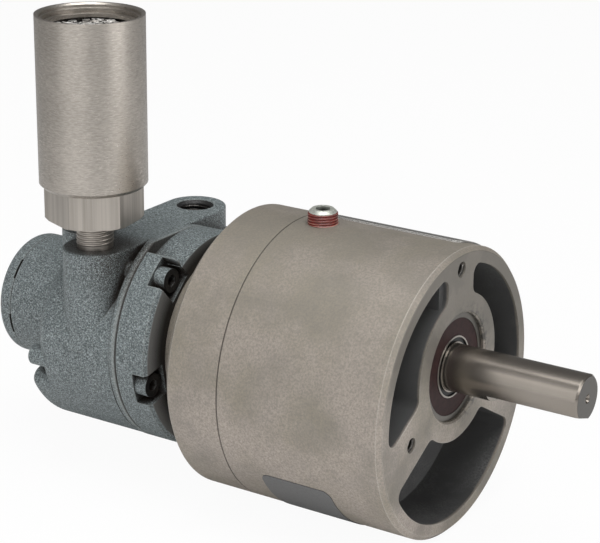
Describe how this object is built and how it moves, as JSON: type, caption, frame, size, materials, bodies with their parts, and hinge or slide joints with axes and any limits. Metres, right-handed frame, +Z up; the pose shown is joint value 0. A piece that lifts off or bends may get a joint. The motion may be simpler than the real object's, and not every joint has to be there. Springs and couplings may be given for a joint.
{
  "type": "geared air vane motor",
  "caption": "Air vane motor with a round offset-shaft reduction gear case, three-hole face mount, keyless D-flat shaft, side inlet port and a standing exhaust muffler.",
  "frame": {"origin": "centre of the bolt circle on the gear case's front face, on the output shaft's axis", "axes": "+X along the output shaft and out of the face, +Z up towards the ports, -Y the muffler's side"},
  "size_m": [0.2242, 0.0984, 0.1649],
  "materials": {
    "case": "satin",
    "motor_paint": "textured",
    "motor_screw": "painted",
    "steel": "ground",
    "gear_steel": "machined",
    "satin_steel": "turned",
    "zinc": "plated",
    "wool": "rough",
    "seal": "matte",
    "sealant": "gloss",
    "vane": "matte",
    "plate": "satin",
    "label": "satin"
  },
  "bodies": {
    "root": {"countershaft_front_balls": "steel", "countershaft_front_bearing": "steel", "countershaft_rear_balls": "steel", "countershaft_rear_bearing": "steel", "cover_screws": "zinc", "cover_seal": "seal", "drive_end_plate": "motor_paint", "end_cap": "motor_paint", "flange_screws": "motor_screw", "front_bearing_seal": "seal", "gear_housing": "case", "lower_label": "label", "motor_body": "motor_paint", "motor_front_balls": "steel", "motor_front_bearing": "steel", "motor_rear_balls": "steel", "motor_rear_bearing": "steel", "motor_screws": "zinc", "muffler_base": "satin_steel", "muffler_packing": "wool", "muffler_ring": "satin_steel", "muffler_shell": "satin_steel", "oil_plug": "zinc", "output_front_balls": "steel", "output_front_bearing": "steel", "output_rear_balls": "steel", "output_rear_bearing": "steel", "plate_pins": "zinc", "plug_sealant": "sealant", "rear_cover": "case", "shaft_seal": "seal", "side_plate": "plate"},
    "output": {"output_shaft": "steel", "output_gear": "gear_steel", "gear_key": "gear_steel", "gear_retaining_ring": "gear_steel", "output_front_inner_ring": "steel", "output_rear_inner_ring": "steel"},
    "countershaft": {"countershaft": "gear_steel", "countershaft_gear": "gear_steel", "countershaft_front_inner_ring": "steel", "countershaft_rear_inner_ring": "steel"},
    "rotor": {"rotor": "gear_steel", "motor_shaft": "gear_steel", "vanes": "vane", "input_pinion": "gear_steel", "motor_front_inner_ring": "steel", "motor_rear_inner_ring": "steel", "motor_retaining_ring": "steel"}
  },
  "joints": [
    {"name": "rotor_turn", "type": "hinge", "parent": "root", "child": "rotor", "pos_m": [-0.12, 0, -0.0093], "axis": [1, 0, 0], "continuous": true},
    {"name": "countershaft_turn", "type": "hinge", "parent": "root", "child": "countershaft", "pos_m": [-0.045, 0, -0.0325], "axis": [1, 0, 0], "continuous": true},
    {"name": "output_turn", "type": "hinge", "parent": "root", "child": "output", "pos_m": [0, 0, 0], "axis": [1, 0, 0], "continuous": true}
  ],
  "couplings": [
    {"joint": "countershaft_turn", "follows": "rotor_turn", "ratio": -0.26087},
    {"joint": "output_turn", "follows": "rotor_turn", "ratio": 0.065217}
  ]
}
